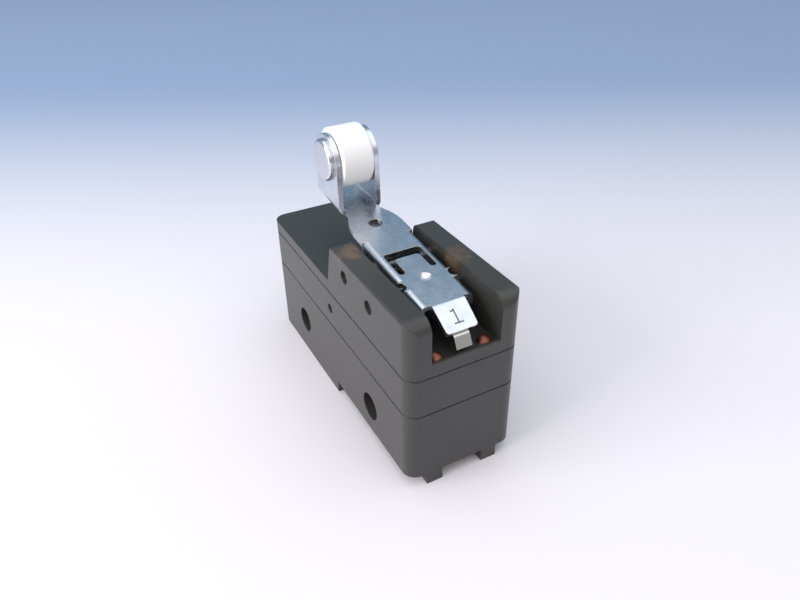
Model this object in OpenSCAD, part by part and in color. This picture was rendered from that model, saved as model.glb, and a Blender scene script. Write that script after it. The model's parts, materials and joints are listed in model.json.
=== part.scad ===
// Lever micro switch: a large snap-action switch with a sprung, reverse-acting roller lever.
// X runs from the roller end (-) to the tab end (+), Y across, Z up. All sizes are in mm.
// The origin is the middle of the case's bottom.

/* [Case] */
// Length of the moulded case
case_len = 49.2; // [48.8:0.1:52]
// Width of the moulded case
case_w = 17.45; // [17:0.05:18.5]
// Height of the seam between the lower and the middle layer
low_seam_z = 13.25; // [12.8:0.05:13.6]
// Height of the seam between the middle layer and the cap
high_seam_z = 19.45; // [19.2:0.05:19.7]
// Height of the cap's deck under the roller
deck_z = 21.5; // [21.3:0.05:21.7]
// Height of the cap's two side walls
wall_top_z = 28.2; // [27.8:0.1:29]
// Radius of the case's upright corners
corner_r = 2; // [1:0.1:2.6]

/* [Mounting] */
// Distance between the two mounting holes
hole_pitch = 25.4; // [25:0.1:25.8]
// Diameter of the mounting holes
hole_d = 4.36; // [3.8:0.02:4.5]
// Height of the mounting holes' axes
hole_z = 6.5; // [6:0.1:7]

/* [Lever] */
// Thickness of the lever's sheet
sheet_t = 0.8; // [0.7:0.05:0.85]
// Slope of the lever's plate at rest, in degrees
lever_tilt = 5.3; // [5:0.1:5.6]
// Angle by which the tab is bent down from the plate, in degrees
tab_drop = 25.9; // [24:0.1:26.5]
// Half of the width of the lever's plate over its folded flanges
plate_half = 4.15; // [4:0.05:4.6]

/* [Roller] */
// Diameter of the roller
roller_d = 9.5; // [8:0.1:10]
// Width of the roller
roller_w = 5.2; // [4.4:0.1:5.3]

/* [Return spring] */
// Number of turns of the return spring
spring_turns = 7; // [5:1:9]
// Thickness of the return spring's wire
spring_wire = 0.55; // [0.4:0.05:0.6]

/* [Hidden] */
$fn = 72;
cut = 1;            // how far a cutting shape runs past a face
groove = 0.12;      // depth and half height of the seam grooves
slip = 0.03;        // clearance of a pin, rivet or screw that is held fast
run = 0.05;         // clearance of a shaft that turns or slides
half_len = case_len / 2;
half_w = case_w / 2;

// Case details
floor_z = deck_z - 0.6;           // floor of the lever's channel
channel_half = 5.3;
channel_x0 = 1.5;                 // far end of the sunk floor
sill_t = 0.5;                     // sill that closes the sunk floor at the tab end
wall_foot_x = -0.5;               // far foot of the side walls, on the deck
wall_lean = 15.1;                 // slope of their far edge, in degrees
wall_far_r = 1;
wall_near_r = 2;
wall_edge_r = 0.4;
step_x = 0.5;                     // from here to the tab end the bottom is raised
step_z = 2.05;
foot_x = half_len - 7.5;
foot_y = [3.3, 5.8];
cavity_half_x = half_len - 5.6;
cavity_half_y = 6;
cavity_z = 10.2;
pocket_half = 3.3;                // terminal pockets in the bottom
pocket_z = 5.2;
end_pocket_x = half_len - 9;
end_wall_t = 1.2;                 // wall that closes the common terminal's pocket at the tab end
mid_pocket_x = [-9.8, 3];

// Terminals
strip_t = 0.8;
strip_half = 2.4;
riser_x = half_len - 8.7;
plate_len = 6.5;                  // of the end terminals' screwed plates
screw_x = half_len - 6.05;                  // the two outer terminal screws stand at + and - this
mid_screw_x = -3.9;
screw_d = 2.8;
screw_tip_z = 9;
screw_head_r = 2.5;
screw_head_z = 1.6;
clamp_t = 0.7;
clamp_half = [2.45, 2.9];
plate_z = pocket_z - strip_t;     // underside of the terminals' plates
side_riser_x = [-8, -5.2];        // the normally closed terminal's riser stands beside the blade
side_riser_y = [4.4, 5.2];

// Fasteners of the case
rivet_x = half_len - 1.7;
rivet_y = 3.8;
rivet_d = 1.4;
rivet_tip_z = 6.5;
rivet_head = [1.15, 0.85];        // radius and height
case_screw_x = 3 - half_len;
case_screw_y = 6;
case_screw_d = 2.1;
case_screw_tip_z = high_seam_z + 1.15;
case_screw_head_r = 1.75;
case_screw_head_z = [0.5, 2];

// Pins and the lever, in the lever's own frame: its origin is the pivot, x runs along the plate
pin_d = 2;
pin_recess = 0.5;
pivot = [5.86, 25.42];
stop_pin_at = [13.52, 24.88];
plate_bottom = 1.73;
plate_top = plate_bottom + sheet_t;
bend_r = 1;                       // outside radius of the flanges' bends
bend_inner_r = bend_r - sheet_t;
plate_end_x = 13.45;
tab_x = 13.7;
tab_len = 4;
tab_half = [2.5, 2.4];
tab_corner_r = 0.5;
ear_r = 1.85;
flange1_x = [-3.3, 7.3];
flange2_x = [9.4, plate_end_x];
relief_x = 8.35;
relief_y = 4.4;
relief_r = 1;
slot_x = [0.8, 2.4, 6];           // far edge of the slot, tip of its tongue, ends of its legs
slot_half = 3;
tongue_half = 2;
dimple_x = 7.72;
dimple_gap = 0.04;
neck_hole_x = -7.36;
neck_hole_r = 1.1;
waist = [[-12.4, 2.65], [-11.3, 2.7], [-10.7, 2.95], [-10.2, 3.2], [-9.5, 3.52], [-8.7, 3.8],
         [-7.6, 4.05], [-6.5, plate_half]];
fork_x = [-20.9, -12.4];
fork_half = 3.6;
fork_bend_r = 1.2;
roller_at = [-17.39, 9.31];
cheek_r = 4.05;                   // round top of the fork's cheeks
axle_d = 3;
roller_edge_r = 0.4;
rivet_face_r = 3.3;
rivet_face_h = 0.75;
rivet_face_edge = 0.5;
peen_r = 2.3;
peen_h = 0.6;

// Return spring under the roller side of the plate
spring_x = -1.5;
spring_r = 1.925;                 // to the middle of the wire
cup_r = 2.5;
cup_wall = 0.8;
cup_floor_z = high_seam_z - 1.05;
spring_top_z = 27.6;
spring_sides = 8;
spring_steps = 16;                // rings to a turn

// Leaf between the lever's tab and the plunger
leaf_t = 0.25;
leaf_half = 1.2;
leaf_pin_at = [2.8, 22.3];
leaf_pin_d = 1;
knuckle_r = 0.85;
knuckle_half = 1.5;
lug_y = [1.7, 2.6];
lug_r = 1.05;
leaf_flat_x = [6.1, 9];           // the level stretch over the plunger
leaf_flat_z = 21.88;
nose_at = [22.45, 22.82];
nose_r = 1;
nose_turn = [96.5, 27];           // directions of the nose's first and last radius
nose_tail = 1.5;

// Plunger and its guide
plunger_x = 7.5;
plunger_r = 1.5;
plunger_top_z = 21.85;
plunger_dome_r = 3.5;
plunger_tip_z = 14.15;
collar_z = [14.8, 15.6];
collar_r = 2.2;
guide_r = 3;
guide_z = 16.05;

// Snap mechanism
blade_z = [13.85, 14.1];
blade_mid_z = (blade_z[0] + blade_z[1]) / 2;
blade_half = 2.8;
window_x = [-8.5, 3.6];
window_half = 1.5;
bow_half = 1.2;
bow_tip = [4.05, 12.9];
bow_sag = 1.5;
post_x = riser_x - 2.3;                    // far face of the post with the knife-edge notch
post_top_z = 15.4;
notch = [0.35, 0.39];             // depth and half height
shelf_z = [11.4, 12.2];
anchor_x = 4.2;
anchor_top_z = 13.2;
contact_x = 1.9 - riser_x;
contact_r = 1.25;
contact_shank_d = 1.2;
contact_h = 0.85;
low_button_z = [12.4, 12.9];
high_button_z = [16, 16.5];
button_r = 1.4;
arm_end_x = contact_x - 1.4;
blade_x = [arm_end_x, post_x + 0.15];
blade_pin_at = [-0.4, 16.3];
blade_pin_d = 1.5;
blade_pin_recess = 0.3;

// Colours
case_black = [0.13, 0.14, 0.16];
zinc = [0.72, 0.74, 0.78];
steel = [0.6, 0.6, 0.62];
copper = [0.72, 0.4, 0.27];
brass = [0.78, 0.62, 0.34];
silver = [0.85, 0.85, 0.84];
nylon = [0.93, 0.93, 0.9];
plunger_red = [0.55, 0.12, 0.1];

// ---------------------------------------------------------------- helpers

// A block from its low corner to its high corner
module block(low, high) {
    translate(low)
        cube(high - low);
}

// Its children's flat outline, drawn in X and Z, given a thickness of half to each side of y = 0
module along_y(half) {
    rotate([90, 0, 0])
        linear_extrude(2 * half, center = true)
            children();
}

// Its children's flat outline, drawn in Y and Z, run from x0 to x1
module along_x(x0, x1) {
    translate([x0, 0, 0])
        rotate([90, 0, 90])
            linear_extrude(x1 - x0)
                children();
}

// A rod that lies across the case, centred on y = 0
module cross_rod(at, d, len) {
    translate([at[0], 0, at[1]])
        rotate([90, 0, 0])
            cylinder(d = d, h = len, center = true);
}

module upright_rod(x, y, z0, z1, r) {
    translate([x, y, z0])
        cylinder(r = r, h = z1 - z0);
}

module both_sides() {
    children();
    mirror([0, 1, 0])
        children();
}

module rounded_rect(len, wid, r) {
    square([len - 2 * r, wid], center = true);
    square([len, wid - 2 * r], center = true);
    for (sx = [-1, 1], sy = [-1, 1])
        translate([sx * (len / 2 - r), sy * (wid / 2 - r)])
            circle(r);
}

// The case's footprint between two heights, drawn in by inset
module footprint(z0, z1, inset = 0) {
    translate([0, 0, z0])
        linear_extrude(z1 - z0)
            rounded_rect(case_len - 2 * inset, case_w - 2 * inset, corner_r - inset);
}

// Points along an arc round at, from angle a0 to a1
function arc(at, r, a0, a1, steps) =
    [for (i = [0:steps]) let (a = a0 + (a1 - a0) * i / steps) at + r * [cos(a), sin(a)]];

function reversed(points) = [for (i = [len(points) - 1:-1:0]) points[i]];

// A half outline closed by its own mirror image across y = 0
function both_halves(points) = concat(points, [for (p = reversed(points)) [p[0], -p[1]]]);

function direction(v) = atan2(v[1], v[0]);

// Where the tangent from point p touches the circle round at: side is 1 or -1
function tangent_point(p, at, r, side) =
    let (d = norm(at - p), a = direction(at - p) + side * asin(r / d), reach = sqrt(d * d - r * r))
    p + reach * [cos(a), sin(a)];

// ---------------------------------------------------------------- case

module mounting_holes() {
    for (side = [-1, 1])
        cross_rod([side * hole_pitch / 2, hole_z], hole_d, case_w + 2 * cut);
}

module fastener_holes(z0, z1) {
    both_sides() {
        upright_rod(rivet_x, rivet_y, max(z0, rivet_tip_z), min(z1, floor_z + cut), rivet_d / 2 + slip);
        upright_rod(case_screw_x, case_screw_y, z0, min(z1, case_screw_tip_z), case_screw_d / 2 + slip);
    }
}

module cavity(z0, z1) {
    block([-cavity_half_x, -cavity_half_y, z0], [cavity_half_x, cavity_half_y, z1]);
}

module terminal_pockets() {
    block([end_pocket_x, -pocket_half, -cut], [half_len - end_wall_t, pocket_half, pocket_z]);
    block([-half_len - cut, -pocket_half, -cut], [-end_pocket_x, pocket_half, pocket_z]);
    block([mid_pocket_x[0], -pocket_half, -cut], [mid_pocket_x[1], pocket_half, pocket_z]);
}

module terminal_slots() {
    for (side = [0, 180])
        rotate([0, 0, side])
            block([riser_x, -strip_half, pocket_z - cut], [riser_x + strip_t, strip_half, cavity_z + cut]);
    block([side_riser_x[0], pocket_half - cut, plate_z], [side_riser_x[1], side_riser_y[1], pocket_z]);
    block([side_riser_x[0], side_riser_y[0], plate_z], [side_riser_x[1], side_riser_y[1], cavity_z + cut]);
    for (x = [-screw_x, mid_screw_x, screw_x])
        upright_rod(x, 0, pocket_z - cut, screw_tip_z + 0.2, screw_d / 2 + slip);
}

module base_case() {
    color(case_black)
        difference() {
            union() {
                difference() {
                    union() {
                        footprint(0, low_seam_z - groove);
                        footprint(low_seam_z - groove, low_seam_z, groove);
                    }
                    block([step_x, -half_w - cut, -cut], [half_len + cut, half_w + cut, step_z]);
                }
                both_sides()
                    block([foot_x, foot_y[0], 0], [half_len, foot_y[1], step_z]);
            }
            cavity(cavity_z, low_seam_z + cut);
            mounting_holes();
            terminal_pockets();
            terminal_slots();
            fastener_holes(-cut, low_seam_z + cut);
            both_sides()
                upright_rod(case_screw_x, case_screw_y, -cut, case_screw_head_z[1],
                            case_screw_head_r + 0.15);
        }
}

module middle_case() {
    color(case_black)
        difference() {
            union() {
                footprint(low_seam_z, low_seam_z + groove, groove);
                footprint(low_seam_z + groove, high_seam_z - groove);
                footprint(high_seam_z - groove, high_seam_z, groove);
            }
            cavity(low_seam_z - cut, high_seam_z + cut);
            fastener_holes(low_seam_z - cut, high_seam_z + cut);
            cross_rod(blade_pin_at, blade_pin_d + 2 * slip, case_w + 2 * cut);
        }
}

// The side walls seen from the side: a leaning far edge and two rounded top corners
module wall_outline() {
    far_z = wall_top_z - wall_far_r;
    far_x = wall_foot_x + (far_z - deck_z) * tan(wall_lean) + wall_far_r / cos(wall_lean);
    near_x = half_len - wall_near_r;
    polygon([
        [wall_foot_x - cut * tan(wall_lean), deck_z - cut],
        [far_x - wall_far_r * cos(wall_lean), far_z + wall_far_r * sin(wall_lean)],
        [far_x, wall_top_z],
        [near_x, wall_top_z],
        [half_len, wall_top_z - wall_near_r],
        [half_len, deck_z - cut],
    ]);
    translate([far_x, far_z])
        circle(wall_far_r);
    translate([near_x, wall_top_z - wall_near_r])
        circle(wall_near_r);
}

// The pair of side walls seen from the end, with their outer top edges rounded
module wall_section() {
    translate([0, wall_top_z - case_w / 2])
        rounded_rect(case_w, case_w, wall_edge_r);
}

module wall_block() {
    intersection() {
        footprint(deck_z - cut, wall_top_z);
        along_y(half_w)
            wall_outline();
        along_x(wall_foot_x - cut, half_len)
            wall_section();
    }
}

module leaf_lugs() {
    both_sides()
        translate([0, lug_y[0], 0])
            rotate([90, 0, 180])
                mirror([1, 0, 0])
                    linear_extrude(lug_y[1] - lug_y[0])
                        difference() {
                            union() {
                                translate([leaf_pin_at[0] - lug_r, floor_z - cut / 2])
                                    square([2 * lug_r, leaf_pin_at[1] - floor_z + cut / 2]);
                                translate(leaf_pin_at)
                                    circle(lug_r);
                            }
                            translate(leaf_pin_at)
                                circle(leaf_pin_d / 2 + slip);
                        }
}

module cap() {
    color(case_black)
        union() {
            difference() {
                union() {
                    footprint(high_seam_z, high_seam_z + groove, groove);
                    footprint(high_seam_z + groove, deck_z);
                    wall_block();
                    upright_rod(spring_x, 0, cup_floor_z - 1, high_seam_z + groove, cup_r + cup_wall);
                    upright_rod(plunger_x, 0, guide_z, high_seam_z + groove, guide_r);
                }
                block([wall_foot_x - 2 * cut, -channel_half, deck_z],
                      [half_len + cut, channel_half, wall_top_z + cut]);
                block([channel_x0, -channel_half, floor_z],
                      [half_len - sill_t, channel_half, deck_z + cut]);
                upright_rod(spring_x, 0, cup_floor_z, deck_z + cut, cup_r);
                upright_rod(plunger_x, 0, guide_z - cut, deck_z, plunger_r + run);
                cross_rod(pivot, pin_d + 2 * slip, case_w + 2 * cut);
                cross_rod(stop_pin_at, pin_d + 2 * slip, case_w + 2 * cut);
                fastener_holes(high_seam_z - cut, deck_z);
            }
            leaf_lugs();
        }
}

// ---------------------------------------------------------------- lever and roller

module lever_frame() {
    translate([pivot[0], 0, pivot[1]])
        rotate([0, lever_tilt, 0])
            children();
}

// The sheet seen from above; along the flanges it stops where their bends begin
module plate_outline() {
    inner = plate_half - bend_r;
    polygon(both_halves(concat(
        [[fork_x[0], fork_half - fork_bend_r], [fork_x[1], fork_half - fork_bend_r]],
        waist,
        [[flange1_x[0], plate_half], [flange1_x[0], inner],
         [flange1_x[1], inner], [flange1_x[1], plate_half],
         [flange2_x[0], plate_half], [flange2_x[0], inner],
         [plate_end_x, inner], [plate_end_x, tab_half[0]], [tab_x, tab_half[0]]])));
}

// The C-shaped slot that leaves a tongue joined to the plate at its near end
module slot_outline() {
    leg_half = (slot_half - tongue_half) / 2;
    leg_y = (slot_half + tongue_half) / 2;
    corner = 0.6;
    back = slot_x[1] - slot_x[0];
    difference() {
        union() {
            translate([slot_x[0] + corner, -slot_half])
                square([slot_x[2] - leg_half - slot_x[0] - corner, 2 * slot_half]);
            translate([slot_x[0], -slot_half + corner])
                square([back, 2 * (slot_half - corner)]);
            for (side = [-1, 1]) {
                translate([slot_x[0] + corner, side * (slot_half - corner)])
                    circle(corner);
                translate([slot_x[2] - leg_half, side * leg_y])
                    circle(leg_half);
            }
        }
        translate([slot_x[1] + corner, -tongue_half])
            square([slot_x[2] - slot_x[1], 2 * tongue_half]);
        translate([slot_x[1], -tongue_half + corner])
            square([slot_x[2] - slot_x[1], 2 * (tongue_half - corner)]);
        for (side = [-1, 1])
            translate([slot_x[1] + corner, side * (tongue_half - corner)])
                circle(corner);
    }
}

// An upright outline with rounded lower corners, standing on the height foot
module cup_section(half, foot, r) {
    top = roller_at[1] + cheek_r + cut;
    translate([-half, foot + r])
        square([2 * half, top - foot - r]);
    translate([-half + r, foot])
        square([2 * (half - r), r + cut]);
    for (side = [-1, 1])
        translate([side * (half - r), foot + r])
            circle(r);
}

// The fork's folded section seen from the end
module fork_section() {
    difference() {
        cup_section(fork_half, plate_bottom, fork_bend_r);
        cup_section(fork_half - sheet_t, plate_top, fork_bend_r - sheet_t);
    }
}

// The fork's cheeks seen from the side
module cheek_outline() {
    far_foot = [fork_x[0], plate_bottom];
    near_foot = [fork_x[1], plate_bottom];
    polygon([
        far_foot,
        tangent_point(far_foot, roller_at, cheek_r, 1),
        roller_at,
        tangent_point(near_foot, roller_at, cheek_r, -1),
        near_foot,
    ]);
    translate(roller_at)
        circle(cheek_r);
}

// The folded flanges' section seen from the end
module flange_section() {
    depth = plate_top + ear_r + cut;
    difference() {
        translate([0, plate_top - plate_half])
            rounded_rect(2 * plate_half, 2 * plate_half, bend_r);
        translate([0, plate_bottom - plate_half])
            rounded_rect(2 * (plate_half - sheet_t), 2 * plate_half, bend_inner_r);
        translate([-plate_half - cut, plate_top - depth - 2 * plate_half])
            square([2 * (plate_half + cut), 2 * plate_half]);
    }
}

// The longer flange seen from the side: an ear round the pivot, rising to clear the stop pin
module long_flange_outline() {
    polygon([
        [flange1_x[0], plate_top],
        [flange1_x[0], 1.1],
        tangent_point([flange1_x[0], 1.1], [0, 0], ear_r, -1),
        [0, 0],
        tangent_point([4.2, 1.1], [0, 0], ear_r, 1),
        [4.2, 1.1],
        [flange1_x[1], 1.4],
        [flange1_x[1], plate_top],
    ]);
    circle(ear_r);
}

module short_flange_outline() {
    translate([flange2_x[0], plate_top - 2])
        square([flange2_x[1] - flange2_x[0], 2]);
}

module flanges() {
    intersection() {
        along_x(flange1_x[0], flange1_x[1])
            flange_section();
        along_y(plate_half)
            long_flange_outline();
    }
    intersection() {
        along_x(flange2_x[0], flange2_x[1])
            flange_section();
        along_y(plate_half)
            short_flange_outline();
    }
}

module tab() {
    translate([tab_x, 0, plate_bottom]) {
        along_y(tab_half[0])
            intersection() {
                circle(sheet_t);
                polygon([[0, 0], [0, 2 * sheet_t],
                         2 * sheet_t * [sin(tab_drop), cos(tab_drop)]]);
            }
        rotate([0, tab_drop, 0])
            linear_extrude(sheet_t) {
                polygon(both_halves([
                    [0, tab_half[0]],
                    [tab_len - tab_corner_r, tab_half[1]],
                    [tab_len, tab_half[1] - tab_corner_r]]));
                for (side = [-1, 1])
                    translate([tab_len - tab_corner_r, side * (tab_half[1] - tab_corner_r)])
                        circle(tab_corner_r);
            }
    }
}

// The dimple that rests on the stop pin: a bump below and a hollow above
module dimple_bump() {
    bump_r = 1.5;
    intersection() {
        translate([dimple_x, 0, 1.2 + bump_r])
            sphere(bump_r);
        block([dimple_x - 2, -2, 0], [dimple_x + 2, 2, plate_bottom + sheet_t / 2]);
    }
}

module dimple_hollow() {
    hollow_r = 1.15;
    translate([dimple_x, 0, plate_top - 0.5 + hollow_r])
        sphere(hollow_r);
}

module lever() {
    color(zinc)
        lever_frame()
            difference() {
                union() {
                    translate([0, 0, plate_bottom])
                        linear_extrude(sheet_t)
                            plate_outline();
                    flanges();
                    intersection() {
                        along_x(fork_x[0], fork_x[1])
                            fork_section();
                        along_y(fork_half)
                            cheek_outline();
                    }
                    tab();
                    dimple_bump();
                }
                translate([0, 0, plate_bottom - cut])
                    linear_extrude(sheet_t + 2 * cut)
                        slot_outline();
                both_sides()
                    upright_rod(relief_x, relief_y, plate_bottom - cut, plate_top + cut, relief_r);
                upright_rod(neck_hole_x, 0, plate_bottom - cut, plate_top + cut, neck_hole_r);
                dimple_hollow();
                cross_rod([0, 0], pin_d + 2 * run, 2 * plate_half + 2 * cut);
                cross_rod(roller_at, axle_d + 2 * slip, 2 * fork_half + 2 * cut);
            }
}

// Turned shapes on the roller's axis, drawn as radius against distance along +Y
module on_roller_axis() {
    lever_frame()
        translate([roller_at[0], 0, roller_at[1]])
            rotate([-90, 0, 0])
                rotate_extrude()
                    children();
}

module roller() {
    bore = axle_d / 2 + run;
    depth = roller_d / 2 - bore;
    color(nylon)
        on_roller_axis()
            translate([bore, 0])
                difference() {
                    translate([0, -roller_w / 2])
                        square([depth, roller_w]);
                    for (side = [-1, 1])
                        translate([depth - roller_edge_r, side * (roller_w / 2 - roller_edge_r)])
                            difference() {
                                translate([0, side > 0 ? 0 : -2 * roller_edge_r])
                                    square(2 * roller_edge_r);
                                circle(roller_edge_r);
                            }
                }
}

module roller_rivet() {
    peen_edge = peen_h / 2;
    color(steel)
        on_roller_axis() {
            translate([0, -fork_half - rivet_face_h])
                square([axle_d / 2, 2 * fork_half + rivet_face_h + peen_h]);
            translate([0, -fork_half - rivet_face_h])
                square([rivet_face_r - rivet_face_edge, rivet_face_h]);
            translate([0, -fork_half - rivet_face_h + rivet_face_edge])
                square([rivet_face_r, rivet_face_h - rivet_face_edge]);
            translate([rivet_face_r - rivet_face_edge, -fork_half - rivet_face_h + rivet_face_edge])
                intersection() {
                    circle(rivet_face_edge);
                    translate([-rivet_face_edge, -rivet_face_edge])
                        square([2 * rivet_face_edge, rivet_face_edge]);
                }
            translate([0, fork_half])
                square([peen_r - peen_edge, peen_h]);
            translate([peen_r - peen_edge, fork_half + peen_edge])
                circle(peen_edge);
        }
}

module pivot_pin() {
    color(steel)
        cross_rod(pivot, pin_d, case_w - 2 * pin_recess);
}

module stop_pin() {
    color(steel)
        cross_rod(stop_pin_at, pin_d, case_w - 2 * pin_recess);
}

// ---------------------------------------------------------------- return spring

// Height of the wire's middle after so many turns: the last turn at each end lies closed
function spring_height(turn) =
    let (low = cup_floor_z + spring_wire / 2, high = spring_top_z - spring_wire / 2,
         closed = spring_wire * 1.05, pitch = (high - low - 2 * closed) / (spring_turns - 2))
    turn < 1 ? low + closed * turn :
    turn > spring_turns - 1 ? high - closed * (spring_turns - turn) :
    low + closed + pitch * (turn - 1);

function spring_ring(turn) =
    let (a = 360 * turn, z = spring_height(turn))
    [for (i = [0:spring_sides - 1])
        let (b = 360 * i / spring_sides, r = spring_r + spring_wire / 2 * cos(b))
        [r * cos(a), r * sin(a), z + spring_wire / 2 * sin(b)]];

module return_spring() {
    rings = spring_turns * spring_steps;
    n = spring_sides;
    points = [for (i = [0:rings]) each spring_ring(i / spring_steps)];
    walls = [for (i = [0:rings - 1], j = [0:n - 1])
        [i * n + j, i * n + (j + 1) % n, (i + 1) * n + (j + 1) % n, (i + 1) * n + j]];
    ends = [[for (j = [n - 1:-1:0]) j], [for (j = [0:n - 1]) rings * n + j]];
    color(steel)
        translate([spring_x, 0, 0])
            polyhedron(points, concat(walls, ends));
}

// ---------------------------------------------------------------- leaf and plunger

// The leaf's strip seen from the side: its lower line, the nose's arc, then back along the top
module leaf_outline() {
    foot = [leaf_pin_at[0], leaf_pin_at[1] - knuckle_r];
    up = [0, leaf_t];
    tail_way = [sin(nose_turn[1]), -cos(nose_turn[1])] * nose_tail;
    inner = arc(nose_at, nose_r - leaf_t, nose_turn[0], nose_turn[1], 10);
    outer = arc(nose_at, nose_r, nose_turn[0], nose_turn[1], 10);
    lower = [foot, [leaf_flat_x[0], leaf_flat_z], [leaf_flat_x[1], leaf_flat_z]];
    polygon(concat(
        lower, inner, [inner[10] + tail_way, outer[10] + tail_way],
        reversed(outer), [for (p = reversed(lower)) p + up]));
}

module actuator_leaf() {
    color(steel)
        difference() {
            union() {
                along_y(leaf_half)
                    leaf_outline();
                cross_rod(leaf_pin_at, 2 * knuckle_r, 2 * knuckle_half);
            }
            cross_rod(leaf_pin_at, leaf_pin_d + 2 * run, 2 * knuckle_half + cut);
        }
}

module leaf_pin() {
    color(steel)
        cross_rod(leaf_pin_at, leaf_pin_d, 2 * lug_y[1]);
}

module plunger() {
    color(plunger_red)
        translate([plunger_x, 0, 0]) {
            intersection() {
                upright_rod(0, 0, plunger_tip_z, plunger_top_z, plunger_r);
                translate([0, 0, plunger_top_z - plunger_dome_r])
                    sphere(plunger_dome_r);
                block([-2, -2, collar_z[1] - 0.1], [2, 2, plunger_top_z]);
            }
            upright_rod(0, 0, collar_z[0], collar_z[1], collar_r);
            translate([0, 0, plunger_tip_z])
                cylinder(r1 = plunger_r - 0.5, r2 = plunger_r, h = 0.4);
            upright_rod(0, 0, plunger_tip_z + 0.4, collar_z[0] + 0.1, plunger_r);
        }
}

// ---------------------------------------------------------------- snap mechanism

// The bowed centre leaf seen from the side
module bow_outline() {
    start = [window_x[0] - 0.3, blade_mid_z];
    chord = bow_tip - start;
    r = (pow(norm(chord) / 2, 2) + pow(bow_sag, 2)) / (2 * bow_sag);
    across = [-chord[1], chord[0]] / norm(chord);
    middle = (start + bow_tip) / 2 + across * (r - bow_sag);
    a0 = direction(start - middle) + 360;
    a1 = direction(bow_tip - middle) + 360;
    t = blade_z[1] - blade_z[0];
    polygon(concat(arc(middle, r + t / 2, a0, a1, 20), arc(middle, r - t / 2, a1, a0, 20)));
}

module snap_blade() {
    color(brass)
        union() {
            difference() {
                block([blade_x[0], -blade_half, blade_z[0]], [blade_x[1], blade_half, blade_z[1]]);
                block([window_x[0], -window_half, blade_z[0] - cut],
                      [window_x[1], window_half, blade_z[1] + cut]);
                upright_rod(contact_x, 0, blade_z[0] - cut, blade_z[1] + cut, contact_shank_d / 2 + slip);
            }
            along_y(bow_half)
                bow_outline();
        }
}

module moving_contact() {
    color(silver) {
        upright_rod(contact_x, 0, blade_z[0] - contact_h, blade_z[0], contact_r);
        upright_rod(contact_x, 0, blade_z[1], blade_z[1] + contact_h, contact_r);
        upright_rod(contact_x, 0, blade_z[0] - 0.1, blade_z[1] + 0.1, contact_shank_d / 2);
    }
}

module button(z, shank_z) {
    color(silver) {
        upright_rod(contact_x, 0, z[0], z[1], button_r);
        upright_rod(contact_x, 0, shank_z[0], shank_z[1], contact_shank_d / 2);
    }
}

module normally_open_contact() {
    button(low_button_z, [low_button_z[0] - strip_t, low_button_z[0] + 0.1]);
}

module normally_closed_contact() {
    button(high_button_z, [high_button_z[1] - 0.1, high_button_z[1] + strip_t]);
}

// The screwed plate and the riser that both end terminals share, drawn at the tab end
module end_terminal(top_z) {
    difference() {
        block([riser_x, -clamp_half[1], plate_z], [riser_x + plate_len, clamp_half[1], pocket_z]);
        upright_rod(screw_x, 0, plate_z - cut, pocket_z + cut, screw_d / 2 + slip);
    }
    block([riser_x, -strip_half, plate_z], [riser_x + strip_t, strip_half, top_z]);
}

module common_terminal() {
    color(brass)
        difference() {
            union() {
                end_terminal(shelf_z[1]);
                block([post_x, -strip_half, shelf_z[0]], [riser_x + strip_t, strip_half, shelf_z[1]]);
                block([post_x, -strip_half, shelf_z[0]], [post_x + strip_t, strip_half, post_top_z]);
                block([anchor_x, -bow_half, shelf_z[0]], [post_x + strip_t, bow_half, shelf_z[1]]);
                block([anchor_x, -bow_half, shelf_z[0]], [anchor_x + strip_t, bow_half, anchor_top_z]);
            }
            along_y(strip_half + cut)
                polygon([
                    [post_x - notch[0], blade_mid_z - 2 * notch[1]],
                    [post_x + notch[0], blade_mid_z],
                    [post_x - notch[0], blade_mid_z + 2 * notch[1]],
                ]);
        }
}

module normally_open_terminal() {
    color(brass)
        difference() {
            union() {
                rotate([0, 0, 180])
                    end_terminal(low_button_z[0]);
                block([-riser_x - strip_t, -strip_half, low_button_z[0] - strip_t],
                      [contact_x + button_r + 0.2, strip_half, low_button_z[0]]);
            }
            upright_rod(contact_x, 0, low_button_z[0] - strip_t - cut, low_button_z[0] + cut,
                        contact_shank_d / 2 + slip);
        }
}

module normally_closed_terminal() {
    arm_z = [high_button_z[1], high_button_z[1] + strip_t];
    color(brass)
        difference() {
            union() {
                block([side_riser_x[0] - 1, -clamp_half[1], plate_z], [-0.9, clamp_half[1], pocket_z]);
                block([side_riser_x[0], 0, plate_z], [side_riser_x[1], side_riser_y[1], pocket_z]);
                block([side_riser_x[0], side_riser_y[0], plate_z],
                      [side_riser_x[1], side_riser_y[1], arm_z[1]]);
                block([side_riser_x[0], -strip_half, arm_z[0]],
                      [side_riser_x[1], side_riser_y[1], arm_z[1]]);
                block([arm_end_x, -strip_half, arm_z[0]], [side_riser_x[1], strip_half, arm_z[1]]);
            }
            upright_rod(mid_screw_x, 0, plate_z - cut, pocket_z + cut, screw_d / 2 + slip);
            upright_rod(contact_x, 0, arm_z[0] - cut, arm_z[1] + cut, contact_shank_d / 2 + slip);
        }
}

// ---------------------------------------------------------------- fasteners

module slotted_screw(head_z, head_r, tip_z, d) {
    slot = [0.5, 0.45];
    difference() {
        upright_rod(0, 0, head_z[0], head_z[1], head_r);
        block([-head_r - cut, -slot[0] / 2, head_z[0] - cut],
              [head_r + cut, slot[0] / 2, head_z[0] + slot[1]]);
    }
    upright_rod(0, 0, head_z[1] - 0.2, tip_z, d / 2);
}

module terminal_screws() {
    color(steel)
        for (x = [-screw_x, mid_screw_x, screw_x])
            translate([x, 0, 0])
                slotted_screw([screw_head_z, plate_z - clamp_t], screw_head_r, screw_tip_z, screw_d);
}

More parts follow.
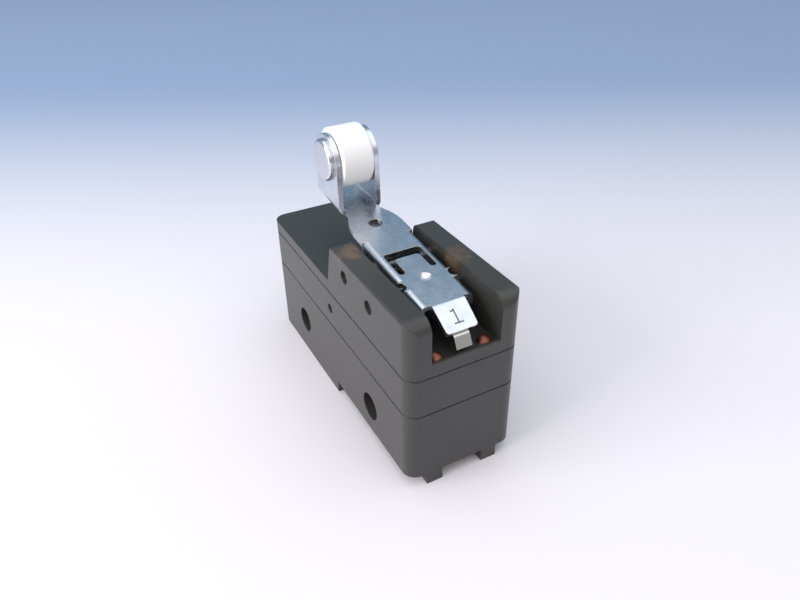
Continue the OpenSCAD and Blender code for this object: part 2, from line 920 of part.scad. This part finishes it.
module terminal_clamps() {
    color(zinc)
        for (x = [-screw_x, mid_screw_x, screw_x])
            translate([x, 0, 0])
                difference() {
                    block([-clamp_half[0], -clamp_half[1], plate_z - clamp_t],
                          [clamp_half[0], clamp_half[1], plate_z]);
                    upright_rod(0, 0, plate_z - clamp_t - cut, plate_z + cut, screw_d / 2 + slip);
                }
}

module cap_rivets() {
    dome_r = (pow(rivet_head[0], 2) + pow(rivet_head[1], 2)) / (2 * rivet_head[1]);
    color(copper)
        both_sides()
            translate([rivet_x, rivet_y, 0]) {
                upright_rod(0, 0, rivet_tip_z, floor_z + rivet_head[1] / 2, rivet_d / 2);
                intersection() {
                    translate([0, 0, floor_z + rivet_head[1] - dome_r])
                        sphere(dome_r);
                    upright_rod(0, 0, floor_z, floor_z + rivet_head[1] + cut, 2 * rivet_head[0]);
                }
            }
}

module case_screws() {
    color(steel)
        both_sides()
            translate([case_screw_x, case_screw_y, 0])
                slotted_screw(case_screw_head_z, case_screw_head_r, case_screw_tip_z, case_screw_d);
}

module blade_stop_pin() {
    color(steel)
        cross_rod(blade_pin_at, blade_pin_d, case_w - 2 * blade_pin_recess);
}

// ---------------------------------------------------------------- drawing

base_case();
middle_case();
cap();
lever();
roller();
roller_rivet();
pivot_pin();
stop_pin();
return_spring();
actuator_leaf();
leaf_pin();
plunger();
snap_blade();
moving_contact();
common_terminal();
normally_open_terminal();
normally_closed_terminal();
normally_open_contact();
normally_closed_contact();
terminal_screws();
terminal_clamps();
cap_rivets();
case_screws();
blade_stop_pin();
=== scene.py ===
"""Looks of the lever micro switch: finishes, the tab's stamped mark, the spring, floor, light, camera."""
import json  # noqa: E402
import logging  # noqa: E402
import math  # noqa: E402
from dataclasses import dataclass  # noqa: E402
from enum import Enum  # noqa: E402

import bpy  # noqa: E402
from mathutils import Matrix, Vector  # noqa: E402


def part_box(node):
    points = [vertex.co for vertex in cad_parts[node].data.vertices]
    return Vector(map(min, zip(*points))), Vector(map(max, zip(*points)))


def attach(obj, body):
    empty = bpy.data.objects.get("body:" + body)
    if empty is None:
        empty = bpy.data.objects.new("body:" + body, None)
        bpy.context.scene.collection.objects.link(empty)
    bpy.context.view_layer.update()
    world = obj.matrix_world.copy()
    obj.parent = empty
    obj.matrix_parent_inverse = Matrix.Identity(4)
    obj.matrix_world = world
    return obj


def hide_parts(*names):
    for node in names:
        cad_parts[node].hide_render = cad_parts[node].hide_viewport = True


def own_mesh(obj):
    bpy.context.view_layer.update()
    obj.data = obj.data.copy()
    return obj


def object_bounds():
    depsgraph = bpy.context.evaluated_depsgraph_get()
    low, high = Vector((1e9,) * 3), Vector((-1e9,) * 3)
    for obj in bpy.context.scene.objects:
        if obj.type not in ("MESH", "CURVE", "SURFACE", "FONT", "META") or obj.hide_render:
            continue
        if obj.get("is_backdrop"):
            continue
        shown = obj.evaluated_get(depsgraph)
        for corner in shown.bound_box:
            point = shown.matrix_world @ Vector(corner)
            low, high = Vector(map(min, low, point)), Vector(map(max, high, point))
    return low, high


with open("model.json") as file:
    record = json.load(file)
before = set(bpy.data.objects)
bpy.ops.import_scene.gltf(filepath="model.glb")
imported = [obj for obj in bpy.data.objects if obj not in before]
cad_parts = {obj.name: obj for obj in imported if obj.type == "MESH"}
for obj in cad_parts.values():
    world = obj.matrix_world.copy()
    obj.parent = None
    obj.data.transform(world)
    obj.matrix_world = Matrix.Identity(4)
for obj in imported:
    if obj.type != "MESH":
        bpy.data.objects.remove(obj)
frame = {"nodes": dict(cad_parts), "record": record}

log = logging.getLogger("scene")
logging.basicConfig(level=logging.INFO)

MM = 0.001
Colour = tuple[float, float, float]
Point = tuple[float, float, float]
Turn = tuple[float, float, float]

GRAIN_DETAIL = 3.0
GRAIN_HEIGHT = 0.05 * MM
RIM_FADE = (0.999, 0.93)          # agreement of the true and the softened normal, from face to rim
STAIN_SCALE = 700.0
STAIN_STRENGTH = 2.4
WITNESS_HALF_WIDTH = 0.05 * MM
LONG_SIDE_Y = 8.7 * MM            # past this distance from the middle lie only the long sides


class Surface(Enum):
    """The kinds of surface that a finish is built as."""

    PLASTIC = "plastic"
    METAL = "metal"


@dataclass(frozen=True)
class Finish:
    """How one material slot looks.

    Attributes are linear colours, a roughness, how much the grain varies it, the grain's size in
    metres and its depth, the radius of softened edges in metres, then optional colours: that of
    the grain's dark part, of stains, and the painted highlight along the sheet's cut rims.
    """

    surface: Surface
    colour: Colour
    roughness: float
    vary: float = 0.08
    grain: float = 0.4 * MM
    depth: float = 0.05
    edge: float = 0.08 * MM
    dark: Colour | None = None
    stain: Colour | None = None
    subsurface: float = 0.0
    # colour of a painted highlight along the cut rims, if the finish has one
    rim_highlight: Colour | None = None


FINISHES: dict[str, Finish] = {
    "case_plastic": Finish(Surface.PLASTIC, (0.044, 0.044, 0.041), 0.36, vary=0.10, grain=0.30 * MM,
                           depth=0.10, edge=0.16 * MM, dark=(0.034, 0.034, 0.032),
                           stain=(0.120, 0.078, 0.050)),
    "lever_sheet": Finish(Surface.METAL, (0.72, 0.76, 0.82), 0.27, vary=0.16, grain=1.5 * MM,
                          depth=0.10, edge=0.10 * MM, dark=(0.56, 0.60, 0.67),
                          # painted golden highlight along the lever's cut rims
                          rim_highlight=(0.80, 0.66, 0.46)),
    "roller_nylon": Finish(Surface.PLASTIC, (0.90, 0.90, 0.89), 0.42, vary=0.05, grain=0.8 * MM,
                           depth=0.03, edge=0.10 * MM, subsurface=0.25),
    "rivet_steel": Finish(Surface.METAL, (0.70, 0.71, 0.73), 0.20, vary=0.10, grain=0.8 * MM),
    "pin_steel": Finish(Surface.METAL, (0.20, 0.19, 0.19), 0.42),
    "spring_steel": Finish(Surface.METAL, (0.42, 0.42, 0.43), 0.30),
    "leaf_steel": Finish(Surface.METAL, (0.62, 0.62, 0.60), 0.22),
    "plunger_plastic": Finish(Surface.PLASTIC, (0.26, 0.022, 0.016), 0.40),
    "spring_brass": Finish(Surface.METAL, (0.72, 0.50, 0.22), 0.28),
    "contact_silver": Finish(Surface.METAL, (0.82, 0.82, 0.80), 0.25),
    "terminal_brass": Finish(Surface.METAL, (0.66, 0.52, 0.27), 0.34),
    "screw_steel": Finish(Surface.METAL, (0.58, 0.58, 0.57), 0.32),
    "clamp_steel": Finish(Surface.METAL, (0.58, 0.58, 0.58), 0.36),
    "rivet_copper": Finish(Surface.METAL, (0.26, 0.105, 0.07), 0.48, vary=0.15, grain=0.6 * MM,
                           depth=0.2),
    "stamped_mark": Finish(Surface.METAL, (0.20, 0.22, 0.26), 0.45),
}

# Where handling has left a brown smudge on the case: centre and reach in metres
STAINS: tuple[tuple[Point, float], ...] = (
    ((4.5 * MM, -7.0 * MM, 28.0 * MM), 5.0 * MM),
    ((12.0 * MM, 5.4 * MM, 27.4 * MM), 5.5 * MM),
)

# Faint upright lines that the mould's inserts left on the long sides: x, middle height, half length
WITNESS_LINES: tuple[tuple[float, float, float], ...] = (
    (6.2 * MM, 21.9 * MM, 2.4 * MM),
    (14.4 * MM, 21.6 * MM, 2.1 * MM),
    (7.9 * MM, 6.6 * MM, 6.4 * MM),
)
WITNESS_TINT: Colour = (0.020, 0.021, 0.021)


@dataclass(frozen=True)
class Lamp:
    """A soft area lamp: its place, what it points at, its size in metres, power and colour."""

    name: str
    place: Point
    aim: Point
    size: float
    power: float
    colour: Colour = (1.0, 1.0, 1.0)


LAMPS: tuple[Lamp, ...] = (
    Lamp("ceiling", (0.10, -0.05, 0.55), (0.0, 0.0, 0.02), 1.20, 4.4, (1.0, 0.98, 0.98)),
    Lamp("side", (-0.02, -0.50, 0.22), (0.0, 0.0, 0.01), 0.35, 2.2, (1.0, 0.98, 0.96)),
)


@dataclass(frozen=True)
class CameraSpec:
    """The camera: place in metres, turn in degrees, lens in mm and frame shifts."""

    place: Point = (82.93 * MM, -40.72 * MM, 77.94 * MM)
    turn: Turn = (57.68, 1.09, 61.91)
    lens: float = 31.23
    shift: tuple[float, float] = (0.0081, -0.0288)


class Group:
    """A shader node group with helpers to add and join nodes."""

    def __init__(self, name: str) -> None:
        """Starts an empty group.

        Args:
            name: The group's name.
        """
        self.tree = bpy.data.node_groups.new(name, "ShaderNodeTree")
        self.inputs = self.tree.nodes.new("NodeGroupInput")
        self.outputs = self.tree.nodes.new("NodeGroupOutput")

    def socket(self, name: str, kind: str, way: str) -> None:
        """Adds a socket to the group's interface.

        Args:
            name: The socket's name.
            kind: Float, Vector or Color.
            way: INPUT or OUTPUT.
        """
        self.tree.interface.new_socket(name, in_out=way, socket_type=f"NodeSocket{kind}")

    def node(self, kind: str, **settings: object) -> bpy.types.Node:
        """Adds a node.

        Args:
            kind: The node type after ShaderNode.
            settings: Attributes to set on it.

        Returns:
            The new node.
        """
        made = self.tree.nodes.new(f"ShaderNode{kind}")
        for key, value in settings.items():
            setattr(made, key, value)
        return made

    def join(self, source: bpy.types.NodeSocket, target: bpy.types.NodeSocket) -> None:
        """Links two sockets.

        Args:
            source: The output.
            target: The input.
        """
        self.tree.links.new(source, target)


def grain_group() -> bpy.types.NodeTree:
    """Builds the fine grain that all surfaces share.

    Returns:
        A group with a mask, the rims of the shape, and a normal that carries the grain over
        softened edges.
    """
    group = Group("grain")
    group.socket("Scale", "Float", "INPUT")
    group.socket("Depth", "Float", "INPUT")
    group.socket("Edge", "Float", "INPUT")
    group.socket("Mask", "Float", "OUTPUT")
    group.socket("Rim", "Float", "OUTPUT")
    group.socket("Normal", "Vector", "OUTPUT")
    place = group.node("TexCoord")
    flat = group.node("NewGeometry")
    agree = group.node("VectorMath", operation="DOT_PRODUCT")
    # mask of the rims, where a finish can paint a highlight
    rim_highlight = group.node("MapRange")
    rim_highlight.inputs["From Min"].default_value = RIM_FADE[0]
    rim_highlight.inputs["From Max"].default_value = RIM_FADE[1]
    noise = group.node("TexNoise")
    noise.inputs["Detail"].default_value = GRAIN_DETAIL
    bevel = group.node("Bevel", samples=4)
    bump = group.node("Bump")
    bump.inputs["Distance"].default_value = GRAIN_HEIGHT
    group.join(place.outputs["Object"], noise.inputs["Vector"])
    group.join(group.inputs.outputs["Scale"], noise.inputs["Scale"])
    group.join(group.inputs.outputs["Edge"], bevel.inputs["Radius"])
    group.join(group.inputs.outputs["Depth"], bump.inputs["Strength"])
    group.join(noise.outputs["Fac"], bump.inputs["Height"])
    group.join(bevel.outputs["Normal"], bump.inputs["Normal"])
    group.join(noise.outputs["Fac"], group.outputs.inputs["Mask"])
    group.join(bump.outputs["Normal"], group.outputs.inputs["Normal"])
    group.join(flat.outputs["Normal"], agree.inputs[0])
    group.join(bevel.outputs["Normal"], agree.inputs[1])
    group.join(agree.outputs["Value"], rim_highlight.inputs["Value"])
    group.join(rim_highlight.outputs["Result"], group.outputs.inputs["Rim"])
    return group.tree


def stain_group() -> bpy.types.NodeTree:
    """Builds a soft blotch round a point.

    Returns:
        A group that takes a centre and a reach and gives a mask.
    """
    group = Group("stain")
    group.socket("Centre", "Vector", "INPUT")
    group.socket("Reach", "Float", "INPUT")
    group.socket("Mask", "Float", "OUTPUT")
    place = group.node("TexCoord")
    away = group.node("VectorMath", operation="DISTANCE")
    share = group.node("Math", operation="DIVIDE")
    noise = group.node("TexNoise")
    noise.inputs["Scale"].default_value = STAIN_SCALE
    fade = group.node("Math", operation="SUBTRACT", use_clamp=True)
    group.join(place.outputs["Object"], away.inputs[0])
    group.join(group.inputs.outputs["Centre"], away.inputs[1])
    group.join(away.outputs["Value"], share.inputs[0])
    group.join(group.inputs.outputs["Reach"], share.inputs[1])
    group.join(place.outputs["Object"], noise.inputs["Vector"])
    group.join(noise.outputs["Fac"], fade.inputs[0])
    group.join(share.outputs["Value"], fade.inputs[1])
    strong = group.node("Math", operation="MULTIPLY", use_clamp=True)
    strong.inputs[1].default_value = STAIN_STRENGTH
    group.join(fade.outputs["Value"], strong.inputs[0])
    group.join(strong.outputs["Value"], group.outputs.inputs["Mask"])
    return group.tree


def witness_group() -> bpy.types.NodeTree:
    """Builds a fine upright line on the case's long sides.

    Returns:
        A group that takes the line's x, its middle height and half of its length, and gives a mask.
    """
    group = Group("witness_line")
    group.socket("X", "Float", "INPUT")
    group.socket("Z", "Float", "INPUT")
    group.socket("Half", "Float", "INPUT")
    group.socket("Mask", "Float", "OUTPUT")
    place = group.node("TexCoord")
    parts = group.node("SeparateXYZ")
    near = group.node("Math", operation="COMPARE")
    near.inputs[2].default_value = WITNESS_HALF_WIDTH
    between = group.node("Math", operation="COMPARE")
    out = group.node("Math", operation="ABSOLUTE")
    skin = group.node("Math", operation="GREATER_THAN")
    skin.inputs[1].default_value = LONG_SIDE_Y
    both = group.node("Math", operation="MULTIPLY")
    mask = group.node("Math", operation="MULTIPLY")
    group.join(place.outputs["Object"], parts.inputs[0])
    group.join(parts.outputs["X"], near.inputs[0])
    group.join(group.inputs.outputs["X"], near.inputs[1])
    group.join(parts.outputs["Z"], between.inputs[0])
    group.join(group.inputs.outputs["Z"], between.inputs[1])
    group.join(group.inputs.outputs["Half"], between.inputs[2])
    group.join(parts.outputs["Y"], out.inputs[0])
    group.join(out.outputs["Value"], skin.inputs[0])
    group.join(near.outputs["Value"], both.inputs[0])
    group.join(between.outputs["Value"], both.inputs[1])
    group.join(both.outputs["Value"], mask.inputs[0])
    group.join(skin.outputs["Value"], mask.inputs[1])
    group.join(mask.outputs["Value"], group.outputs.inputs["Mask"])
    return group.tree


class Materials:
    """Builds each finish once and puts it on the CAD's nodes."""

    SUBSURFACE_REACH = 1.0 * MM

    def __init__(self) -> None:
        """Makes the shared groups."""
        self.grain = grain_group()
        self.stain = stain_group()
        self.witness = witness_group()
        self.made: dict[str, bpy.types.Material] = {}

    @staticmethod
    def _use(tree: bpy.types.NodeTree, group: bpy.types.NodeTree) -> bpy.types.Node:
        """Adds a group node.

        Args:
            tree: The material's tree.
            group: The group to use.

        Returns:
            The node.
        """
        node = tree.nodes.new("ShaderNodeGroup")
        node.node_tree = group
        return node

    @staticmethod
    def _mix(tree: bpy.types.NodeTree, share: bpy.types.NodeSocket,
             first: Colour | bpy.types.NodeSocket, second: Colour) -> bpy.types.NodeSocket:
        """Mixes two colours by a mask.

        Args:
            tree: The material's tree.
            share: The mask.
            first: A colour, or a socket that gives one.
            second: The colour where the mask is 1.

        Returns:
            The mixed colour's socket.
        """
        mix = tree.nodes.new("ShaderNodeMix")
        mix.data_type = "RGBA"
        tree.links.new(share, mix.inputs["Factor"])
        if isinstance(first, tuple):
            mix.inputs["A"].default_value = (*first, 1.0)
        else:
            tree.links.new(first, mix.inputs["A"])
        mix.inputs["B"].default_value = (*second, 1.0)
        return mix.outputs["Result"]

    def _paint(self, tree: bpy.types.NodeTree, look: Finish,
               grain: bpy.types.Node) -> bpy.types.NodeSocket:
        """Builds the colour of a finish that has more than one.

        Args:
            tree: The material's tree.
            look: The finish, which has a dark colour.
            grain: The material's grain node.

        Returns:
            The colour's socket.
        """
        colour = self._mix(tree, grain.outputs["Mask"], look.colour, look.dark)
        if look.stain is not None:
            for centre, reach in STAINS:
                blotch = self._use(tree, self.stain)
                blotch.inputs["Centre"].default_value = centre
                blotch.inputs["Reach"].default_value = reach
                colour = self._mix(tree, blotch.outputs["Mask"], colour, look.stain)
            for x, z, half in WITNESS_LINES:
                line = self._use(tree, self.witness)
                line.inputs["X"].default_value = x
                line.inputs["Z"].default_value = z
                line.inputs["Half"].default_value = half
                colour = self._mix(tree, line.outputs["Mask"], colour, WITNESS_TINT)
        # painted highlight: gold is mixed in along the rims, where the softened normal parts from the
        # true one
        if look.rim_highlight is not None:
            colour = self._mix(tree, grain.outputs["Rim"], colour, look.rim_highlight)
        return colour

    def get(self, slot: str) -> bpy.types.Material:
        """Gives the material of a slot, made at its first use.

        Args:
            slot: The record's material slot, or stamped_mark.

        Returns:
            The material.
        """
        if slot in self.made:
            return self.made[slot]
        look = FINISHES[slot]
        material = bpy.data.materials.new(slot)
        material.use_nodes = True
        tree = material.node_tree
        shader = tree.nodes["Principled BSDF"]
        shader.inputs["Base Color"].default_value = (*look.colour, 1.0)
        shader.inputs["Metallic"].default_value = 1.0 if look.surface is Surface.METAL else 0.0
        grain = self._use(tree, self.grain)
        grain.inputs["Scale"].default_value = 1.0 / look.grain
        grain.inputs["Depth"].default_value = look.depth
        grain.inputs["Edge"].default_value = look.edge
        spread = tree.nodes.new("ShaderNodeMapRange")
        spread.inputs["To Min"].default_value = look.roughness - look.vary
        spread.inputs["To Max"].default_value = look.roughness + look.vary
        tree.links.new(grain.outputs["Mask"], spread.inputs["Value"])
        tree.links.new(spread.outputs["Result"], shader.inputs["Roughness"])
        tree.links.new(grain.outputs["Normal"], shader.inputs["Normal"])
        if look.dark is not None:
            tree.links.new(self._paint(tree, look, grain), shader.inputs["Base Color"])
        if look.subsurface:
            shader.inputs["Subsurface Weight"].default_value = look.subsurface
            shader.inputs["Subsurface Scale"].default_value = self.SUBSURFACE_REACH
        self.made[slot] = material
        return material

    def dress(self) -> None:
        """Puts each CAD node's finish on it."""
        for part in frame["record"]["subparts"]:
            mesh = frame["nodes"][part["node"]].data
            mesh.materials.clear()
            mesh.materials.append(self.get(part["material_slot"]))


class StampedMark:
    """The plain figure 1 that is stamped into the tab, with its foot towards the tab's end."""

    SLOPE = math.radians(31.2)
    END = Vector((23.50 * MM, 0.0, 24.50 * MM))
    DEPTH = 0.03 * MM
    # Each bar is its first and last distance from the tab's end, and its first and last y, in mm
    BARS = ((1.05, 3.15, -0.11, 0.11), (1.00, 1.22, -0.70, 0.70), (2.80, 3.02, -0.55, 0.0))

    def build(self, materials: Materials) -> bpy.types.Object:
        """Makes the mark as thin bars on the tab's face.

        Args:
            materials: Gives the mark's material.

        Returns:
            The mark, riding on the lever.
        """
        along = Vector((-math.cos(self.SLOPE), 0.0, math.sin(self.SLOPE)))
        normal = Vector((math.sin(self.SLOPE), 0.0, math.cos(self.SLOPE)))
        points: list[Vector] = []
        faces: list[tuple[int, ...]] = []
        for near, far, left, right in self.BARS:
            start = len(points)
            for lift in (-self.DEPTH, self.DEPTH / 2):
                for s, y in ((near, left), (near, right), (far, right), (far, left)):
                    points.append(self.END + along * s * MM + normal * lift + Vector((0, y * MM, 0)))
            quads = ((3, 2, 1, 0), (4, 5, 6, 7), (0, 1, 5, 4), (1, 2, 6, 5), (2, 3, 7, 6), (3, 0, 4, 7))
            faces += [tuple(start + i for i in quad) for quad in quads]
        mesh = bpy.data.meshes.new("stamped_mark")
        mesh.from_pydata([tuple(p) for p in points], [], faces)
        mesh.materials.append(materials.get("stamped_mark"))
        mark = bpy.data.objects.new("stamped_mark", mesh)
        bpy.context.scene.collection.objects.link(mark)
        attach(mark, "lever")
        return mark


class ReturnSpring:
    """The coil spring with a smooth round wire, built at one length; it does not shorten as the lever
    comes down.
    """

    TURNS = 7
    WIRE = 0.55 * MM
    SIDES = 12
    STEPS = 32        # rings to a turn
    KEPT = 0.69       # its share of length left when the lever is fully down

    def _height(self, turn: float, low: float, high: float) -> float:
        """Gives the wire's height: the last turn at each end lies closed.

        Args:
            turn: How many turns from the foot.
            low: The lowest height of the wire's middle.
            high: The highest one.

        Returns:
            The height of the wire's middle.
        """
        closed = self.WIRE * 1.05
        pitch = (high - low - 2 * closed) / (self.TURNS - 2)
        if turn < 1:
            return low + closed * turn
        if turn > self.TURNS - 1:
            return high - closed * (self.TURNS - turn)
        return low + closed + pitch * (turn - 1)

    def build(self, materials: Materials) -> bpy.types.Object:
        """Sweeps the wire in the place of the CAD's spring.

        Args:
            materials: Gives the wire's material.

        Returns:
            The spring, standing in the cap.
        """
        box_low, box_high = (Vector(corner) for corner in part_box("return_spring"))
        middle = (box_low + box_high) / 2
        wire_r = self.WIRE / 2
        coil_r = (box_high.y - box_low.y) / 2 - wire_r
        points: list[tuple[float, float, float]] = []
        for ring in range(self.TURNS * self.STEPS + 1):
            turn = ring / self.STEPS
            z = self._height(turn, box_low.z + wire_r, box_high.z - wire_r)
            for side in range(self.SIDES):
                b = math.tau * side / self.SIDES
                reach = coil_r + wire_r * math.cos(b)
                points.append((middle.x + reach * math.cos(math.tau * turn),
                               middle.y + reach * math.sin(math.tau * turn),
                               z + wire_r * math.sin(b)))
        n = self.SIDES
        faces = [(i * n + j, i * n + (j + 1) % n, (i + 1) * n + (j + 1) % n, (i + 1) * n + j)
                 for i in range(self.TURNS * self.STEPS) for j in range(n)]
        last = len(points) - n
        faces += [tuple(reversed(range(n))), tuple(range(last, last + n))]
        mesh = bpy.data.meshes.new("coil_spring")
        mesh.from_pydata(points, [], faces)
        mesh.shade_smooth()
        mesh.materials.append(materials.get("spring_steel"))
        spring = bpy.data.objects.new("coil_spring", mesh)
        bpy.context.scene.collection.objects.link(spring)
        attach(spring, "case")
        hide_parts("return_spring")
        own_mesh(spring)
        return spring


class Studio:
    """The pale sheet the switch stands on, the soft light round it and the camera."""

    FLOOR_HALF = 3.0
    FLOOR_GAP = 0.02 * MM             # the floor lies this far under the case's feet
    FLOOR_ROUGHNESS = 0.55
    FLOOR_SPECULAR = 0.25
    NEAR_TINT: Colour = (0.80, 0.77, 0.82)
    FAR_TINT: Colour = (0.28, 0.38, 0.56)
    FAR_WAY = (-0.888, 0.460, 0.0)    # the way in which the floor turns blue
    FAR_REACH = (0.0, 0.18)
    SKY_WAY = (-0.85, 0.45, 0.1)      # from behind the camera to behind the switch
    SKY_NEAR: Colour = (0.34, 0.32, 0.30)
    SKY_MIDDLE: Colour = (0.55, 0.57, 0.60)
    SKY_FAR: Colour = (0.14, 0.27, 0.38)
    SENSOR_WIDTH = 36.0
    CLIP_START = 1 * MM

    def floor(self) -> None:
        """Makes the floor, which turns from a pinkish white to blue at the back."""
        half = self.FLOOR_HALF
        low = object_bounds()[0][2] - self.FLOOR_GAP
        mesh = bpy.data.meshes.new("floor")
        corners = [(-half, -half, low), (half, -half, low), (half, half, low), (-half, half, low)]
        mesh.from_pydata(corners, [], [(0, 1, 2, 3)])
        sheet = bpy.data.objects.new("floor", mesh)
        bpy.context.scene.collection.objects.link(sheet)
        material = bpy.data.materials.new("floor")
        material.use_nodes = True
        tree = material.node_tree
        shader = tree.nodes["Principled BSDF"]
        shader.inputs["Roughness"].default_value = self.FLOOR_ROUGHNESS
        shader.inputs["Specular IOR Level"].default_value = self.FLOOR_SPECULAR
        place = tree.nodes.new("ShaderNodeTexCoord")
        along = tree.nodes.new("ShaderNodeVectorMath")
        along.operation = "DOT_PRODUCT"
        along.inputs[1].default_value = self.FAR_WAY
        share = tree.nodes.new("ShaderNodeMapRange")
        share.interpolation_type = "SMOOTHSTEP"
        share.inputs["From Min"].default_value = self.FAR_REACH[0]
        share.inputs["From Max"].default_value = self.FAR_REACH[1]
        mix = tree.nodes.new("ShaderNodeMix")
        mix.data_type = "RGBA"
        mix.inputs["A"].default_value = (*self.NEAR_TINT, 1.0)
        mix.inputs["B"].default_value = (*self.FAR_TINT, 1.0)
        tree.links.new(place.outputs["Object"], along.inputs[0])
        tree.links.new(along.outputs["Value"], share.inputs["Value"])
        tree.links.new(share.outputs["Result"], mix.inputs["Factor"])
        tree.links.new(mix.outputs["Result"], shader.inputs["Base Color"])
        mesh.materials.append(material)
        sheet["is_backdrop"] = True

    def sky(self) -> None:
        """Makes the surrounding light: blue behind the switch, dim and warm behind the camera."""
        world = bpy.data.worlds.new("room")
        world.use_nodes = True
        bpy.context.scene.world = world
        tree = world.node_tree
        place = tree.nodes.new("ShaderNodeTexCoord")
        along = tree.nodes.new("ShaderNodeVectorMath")
        along.operation = "DOT_PRODUCT"
        along.inputs[1].default_value = self.SKY_WAY
        share = tree.nodes.new("ShaderNodeMapRange")
        share.inputs["From Min"].default_value = -1.0
        ramp = tree.nodes.new("ShaderNodeValToRGB")
        ramp.color_ramp.elements[0].color = (*self.SKY_NEAR, 1.0)
        ramp.color_ramp.elements[1].color = (*self.SKY_FAR, 1.0)
        ramp.color_ramp.elements.new(0.50).color = (*self.SKY_MIDDLE, 1.0)
        tree.links.new(place.outputs["Generated"], along.inputs[0])
        tree.links.new(along.outputs["Value"], share.inputs["Value"])
        tree.links.new(share.outputs["Result"], ramp.inputs["Fac"])
        tree.links.new(ramp.outputs["Color"], tree.nodes["Background"].inputs["Color"])
        tree.nodes["Background"].inputs["Strength"].default_value = 1.0

    def lamps(self) -> None:
        """Adds the soft lamps."""
        for lamp in LAMPS:
            light = bpy.data.lights.new(lamp.name, "AREA")
            light.size = lamp.size
            light.energy = lamp.power
            light.color = lamp.colour
            holder = bpy.data.objects.new(lamp.name, light)
            holder.location = lamp.place
            way = Vector(lamp.aim) - Vector(lamp.place)
            holder.rotation_euler = way.to_track_quat("-Z", "Y").to_euler()
            bpy.context.scene.collection.objects.link(holder)

    def camera(self, spec: CameraSpec) -> None:
        """Adds the camera that looks down on the tab end.

        Args:
            spec: Its place, turn and lens.
        """
        data = bpy.data.cameras.new("camera")
        data.sensor_width = self.SENSOR_WIDTH
        data.lens = spec.lens
        data.shift_x, data.shift_y = spec.shift
        data.clip_start = self.CLIP_START
        camera = bpy.data.objects.new("camera", data)
        camera.matrix_world = Matrix.Translation(spec.place)
        camera.rotation_euler = [math.radians(a) for a in spec.turn]
        bpy.context.scene.collection.objects.link(camera)
        bpy.context.scene.camera = camera


def main() -> None:
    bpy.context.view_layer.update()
    materials = Materials()
    materials.dress()
    StampedMark().build(materials)
    ReturnSpring().build(materials)
    studio = Studio()
    studio.floor()
    studio.sky()
    studio.lamps()
    studio.camera(CameraSpec())
    bpy.context.scene.view_settings.view_transform = "Standard"


if __name__ == "__main__":
    main()
